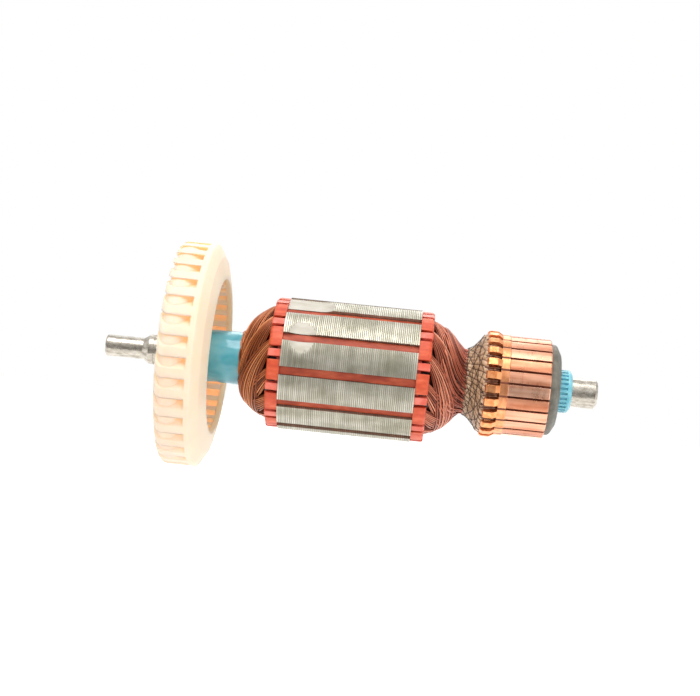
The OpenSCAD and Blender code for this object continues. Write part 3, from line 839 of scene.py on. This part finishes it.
def make_coil(index, finish):
    """One coil as the strands of its bundle, each a closed loop through its two slots."""
    rng = random.Random(index)
    start_angle = slot_angle(index - 1) + COIL_SPAN
    buried = {LAST_COIL: BURIED_LAST, FIRST_COIL: BURIED_FIRST}.get(index, BURIED)
    strands, tones = [], []
    for row, columns in enumerate(ROWS):
        for column in range(columns):
            across = (column - (columns - 1) / 2) * COLUMN_STEP
            tones.append(random_tone(rng, *WIRE_TONE))
            drive = end_turn(-1, start_angle, across, row, buried, rng)
            commutator = end_turn(1, start_angle, across, row, buried, rng)
            strands.append(np.concatenate([drive, commutator[::-1]]))
    points, quads = joined([sweep(path, WIRE_R, closed=True) for path in strands])
    piece = quad_object(f"coil_{index}_turns", points, quads, finish)
    mark(piece, "tone", np.repeat(tones, len(points) // len(tones)))
    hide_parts(f"coil_{index}")


def make_filler(end, name, finish):
    """Varnished inner turns below the strands that show, dark with painted shade."""
    steps = np.linspace(0, HEAD_PROFILE[end][-1][0], 16)
    radii = np.maximum(head_radius(end, steps) - FILLER_DEPTH, SLEEVE_R + 0.1)
    angles = np.arange(FILLER_SIDES) * 360 / FILLER_SIDES
    face = CORE_START if end < 0 else CORE_END
    rings = [polar(face + end * d, r, angles) for d, r in zip(steps, radii)]
    rings.append(polar(face + end * steps[-1], SLEEVE_R, angles))
    piece = quad_object(name, np.concatenate(rings), ring_quads(len(rings), FILLER_SIDES, False), finish)


# ---- Leads, hooks' wires and lacing ----

NECK = 12.3
# Distance from the core, and radius, from the head over the neck and up to the hooks
FLARE_PROFILE = [
    (5.5, 14.6), (7.5, 13.4), (9.3, 11.6), (10.8, 9.8), (NECK, 8.35),
    (14.5, 9.4), (16.1, 11.1), (17.1, 12.9), (18.4, 13.5),
]
LEADS_FROM, LEADS_TO = 10.4, 18.4
LEAD_COUNT = 48
LEAD_TWIST = 26
LEAD_RINGS = 44
LEAD_SIDES = 8
LEAD_HEIGHT = 0.5
OUT_BUNDLES = 24
BUNDLE_WIRES = 3
BUNDLE_STEP = 4.4  # degrees from wire to wire
OUT_WIRES_TO = 13.4
OUT_POINTS = 26
OUT_TWIST = 62
OUT_TONE = (0.45, 0.25)
HOOK_WIRE_R = 0.34
CORD_R = 0.08
CORD_POINTS = 240
CORD_TURNS = 3
LACED_FROM, LACED_TO = 13.0, 17.3
STROKES = 26
STROKE_TURNS = 5
STROKE_POINTS = 6


def flare_radius(distance):
    """Radius of the neck and flare at distances from the core."""
    steps, radii = zip(*FLARE_PROFILE)
    dense = np.linspace(steps[0], steps[-1], 200)
    soft = smoothed(np.interp(dense, steps, radii), 15)
    return np.interp(distance, dense, soft)


def make_leads(finish):
    """The leads lie side by side in resin, as one skin with a ridge along each of them."""
    rng = random.Random(5)
    distance = np.linspace(LEADS_FROM, LEADS_TO, LEAD_RINGS)
    sides = LEAD_COUNT * LEAD_SIDES
    lead = np.arange(sides) // LEAD_SIDES
    across = np.arange(sides) % LEAD_SIDES / LEAD_SIDES * 2 - 1
    ridge = np.sqrt(1 - across**2 * 0.99)
    lift = np.array([rng.uniform(-0.1, 0.1) for _ in range(LEAD_COUNT)])[lead]
    drift = np.array([wander(rng, len(distance), 1.0) for _ in range(LEAD_COUNT)])[lead].T
    to_hooks = (distance[-1] - distance) / (distance[-1] - distance[0])
    angle = GAP_PHASE + np.arange(sides) * 360 / sides + LEAD_TWIST * to_hooks[:, None]
    angle = angle + drift * np.sin(np.pi * to_hooks)[:, None]
    height = LEAD_HEIGHT * (ridge - 1) + lift
    sunk = np.interp(distance, [LEADS_FROM, NECK], [0.6, 0.1])
    radius = (flare_radius(distance) - sunk)[:, None] + height
    rows = polar(CORE_END + distance[:, None], radius, angle).reshape(-1, 3)
    piece = quad_object("leads", rows, ring_quads(len(distance), sides, False), finish)
    mark(piece, "height", np.tile(ridge, len(distance)))
    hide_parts("lead_wires")


def make_out_wires(finish):
    """Wires that leave the winding and sweep round and down on to the neck."""
    rng = random.Random(9)
    parts, tones = [], []
    for index in range(OUT_BUNDLES * BUNDLE_WIRES):
        bundle, wire = divmod(index, BUNDLE_WIRES)
        start = rng.uniform(5.6, 8.4)
        distance = np.linspace(start, OUT_WIRES_TO, OUT_POINTS)
        to_neck = (OUT_WIRES_TO - distance) / 7
        angle = bundle * 360 / OUT_BUNDLES + wire * BUNDLE_STEP + rng.uniform(-2, 2)
        angle = angle + OUT_TWIST * to_neck**1.35 + wander(rng, OUT_POINTS, 1.2)
        places = [start, start + 1, OUT_WIRES_TO - 0.8, OUT_WIRES_TO]
        below = np.interp(distance, places, [0.7, 0.1, 0.0, 0.5])
        radius = flare_radius(distance) - below + wander(rng, OUT_POINTS, 0.1)
        parts.append(sweep(polar(CORE_END + distance, radius, angle), rng.uniform(0.2, 0.3)))
        tones.append(random_tone(rng, *OUT_TONE))
    points, quads = joined(parts)
    piece = quad_object("out_wires", points, quads, finish)
    mark(piece, "tone", np.repeat(tones, len(points) // len(tones)))


def make_hook_wires(finish):
    """Two varnished wires that lie in each gap between hooks, before they turn under one."""
    parts = []
    rng = random.Random(7)
    for index in range(BAR_COUNT):
        gap = GAP_PHASE + index * BAR_PITCH
        for side in (-1, 1):
            x = np.linspace(BAR_START - 0.6, BAR_START + 3.6, 9)
            lift = np.array([-0.5, 0, 0.2, 0.25, 0.2, 0.1, 0.1, 0, -0.5]) + wander(rng, 9, 0.1)
            angle = gap + side * 1.35 + wander(rng, 9, 0.3)
            parts.append(sweep(polar(x, TRACK_R - 0.45 + lift, angle), HOOK_WIRE_R, sides=8))
    points, quads = joined(parts)
    piece = quad_object("hook_wires", points, quads, finish)


def make_lacing(finish):
    """The cord winds round the flare, then runs up and down over its own turns."""
    rng = random.Random(2)
    reach = LACED_TO - LACED_FROM
    turns = np.linspace(0, CORD_TURNS, CORD_POINTS)
    distance = LACED_FROM + reach * turns / turns[-1] + wander(rng, CORD_POINTS, 0.12)
    winding = polar(CORE_END + distance, flare_radius(distance) + 0.05, turns * 360)
    stroke = np.arange(STROKES * STROKE_POINTS + 1) / STROKE_POINTS
    up = np.abs((stroke + 1) % 2 - 1)
    distance = LACED_FROM + reach * up
    angle = -stroke * 360 * STROKE_TURNS / STROKES + wander(rng, len(stroke), 4)
    zigzag = polar(CORE_END + distance, flare_radius(distance) + 0.2, angle)
    points, quads = joined([sweep(winding, CORD_R), sweep(zigzag, CORD_R)])
    piece = quad_object("lacing", points, quads, finish)
    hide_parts("lacing_cord")


# ---- Sleeve ----

SLEEVE_WALL = 0.6
SLEEVE_SWELL = 0.12
SLEEVE_WAVES = 14
SLEEVE_RINGS, SLEEVE_SIDES = 90, 128


def make_sleeve(finish):
    """The film round the shaft, with a surface of shallow swells and flats."""
    rng = random.Random(3)
    x = np.linspace(SLEEVE_START, SLEEVE_END, SLEEVE_RINGS)
    angle = np.arange(SLEEVE_SIDES) * 360 / SLEEVE_SIDES
    height = np.zeros((SLEEVE_RINGS, SLEEVE_SIDES))
    for _ in range(SLEEVE_WAVES):
        waves = rng.randint(1, 6)
        pitch = rng.uniform(4, 14)
        phase = rng.uniform(0, 360)
        height += np.sin(np.radians(waves * angle[None, :] + phase + 360 * x[:, None] / pitch))
    height /= SLEEVE_WAVES
    radius = SLEEVE_R - SLEEVE_SWELL + SLEEVE_SWELL * np.clip(height * 2.5, -1, 1)
    inner = SLEEVE_R - SLEEVE_WALL
    rows = [polar(x[0], inner, angle)]
    rows += [polar(place, radii, angle) for place, radii in zip(x, radius)]
    rows.append(polar(x[-1], inner, angle))
    quads = ring_quads(len(rows), SLEEVE_SIDES, False)
    piece = quad_object("sleeve_film", np.concatenate(rows), quads, finish)
    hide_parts("shaft_sleeve")


# ---- The object ----


def dress(node, finish):
    """Gives a CAD node its finish."""
    mesh = nodes[node].data
    mesh.materials.clear()
    mesh.materials.append(finish)


def dress_bars():
    """Neighbouring bars differ a little in tone, as turned copper does."""
    tones = [
        copper_finish("copper_light", (244, 194, 166), (222, 154, 122)),
        copper_finish("copper_mid", (230, 170, 140), (204, 134, 102)),
        copper_finish("copper_brown", (206, 142, 110), (174, 106, 76)),
    ]
    rng = random.Random(11)
    for index in range(1, BAR_COUNT + 1):
        dress(f"commutator_bar_{index}", rng.choice([tones[0], tones[0], tones[1], tones[1], tones[2]]))


def make_armature():
    """CAD nodes with their finishes, and the pieces that stand for the rest."""
    dress("shaft", steel_finish())
    ivory = fan_finish()
    dress("fan", ivory)
    make_fan_floor(ivory)
    coral = coral_finish()
    dress("drive_end_insulator", coral)
    dress("commutator_end_insulator", coral)
    dress("slot_wedges", wedge_finish())
    dress("slot_liners", liner_finish())
    dress("commutator_moulding", phenolic_finish())
    dress("ribbed_ring", ring_finish())
    dress_bars()
    make_core(core_finish(), milled_finish(), groove_finish())
    make_sleeve(sleeve_finish())
    wire = wire_finish()
    for index in range(1, SLOT_COUNT + 1):
        make_coil(index, wire)
    # inner turns, dark with painted shade between the strands
    varnish_and_shade = varnish_and_shade_finish()
    make_filler(-1, "drive_end_inner_turns", varnish_and_shade)
    make_filler(1, "commutator_end_inner_turns", varnish_and_shade)
    make_leads(lead_finish())
    make_out_wires(wire)
    make_hook_wires(hook_wire_finish())
    make_lacing(cord_finish())


bpy.context.scene.view_settings.view_transform = "Standard"
make_studio()
make_armature()
